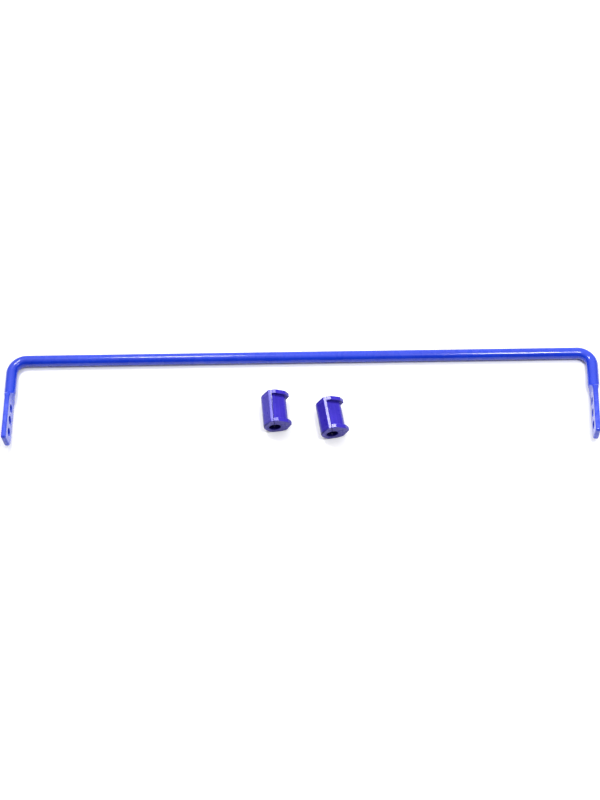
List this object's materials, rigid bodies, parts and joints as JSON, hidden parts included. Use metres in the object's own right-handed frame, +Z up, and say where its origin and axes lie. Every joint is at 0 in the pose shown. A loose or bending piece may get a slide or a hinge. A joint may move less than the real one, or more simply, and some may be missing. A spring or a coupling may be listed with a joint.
{
  "type": "sway bar",
  "caption": "Sway bar: round blue bar bent into a shallow U with flat, drilled link ends, and its split violet bushes lying in front of it.",
  "frame": {"origin": "centre of the footprint of the whole part on the floor", "axes": "+X along the bar, arms pointing towards -Y, +Z up"},
  "size_m": [0.8848, 0.1504, 0.0399],
  "materials": {
    "powder_coat": "glossy royal blue powder coat",
    "polyurethane": "satin moulded violet polyurethane"
  },
  "bodies": {
    "torsion_span": {"torsion_span": "powder_coat"},
    "left_arm": {"left_arm": "powder_coat"},
    "right_arm": {"right_arm": "powder_coat"},
    "left_bush": {"left_bush": "polyurethane"},
    "right_bush": {"right_bush": "polyurethane"}
  },
  "joints": [
    {"name": "left_arm_twist", "type": "hinge", "parent": "torsion_span", "child": "left_arm", "pos_m": [-0.41287, 0.06672, 0.0085], "axis": [1, 0, 0], "range_deg": [-12, 12], "stiffness_Nm_per_rad": 1536},
    {"name": "right_arm_twist", "type": "hinge", "parent": "torsion_span", "child": "right_arm", "pos_m": [0.41287, 0.06672, 0.0085], "axis": [1, 0, 0], "range_deg": [-12, 12], "stiffness_Nm_per_rad": 1536},
    {"name": "left_bush_lift", "type": "slide", "parent": "torsion_span", "child": "left_bush", "axis": [0, 0, 1], "range_m": [0, 0.1]},
    {"name": "right_bush_lift", "type": "slide", "parent": "torsion_span", "child": "right_bush", "axis": [0, 0, 1], "range_m": [0, 0.1]}
  ],
  "couplings": [
    {"joint": "right_arm_twist", "follows": "left_arm_twist", "ratio": -1}
  ]
}
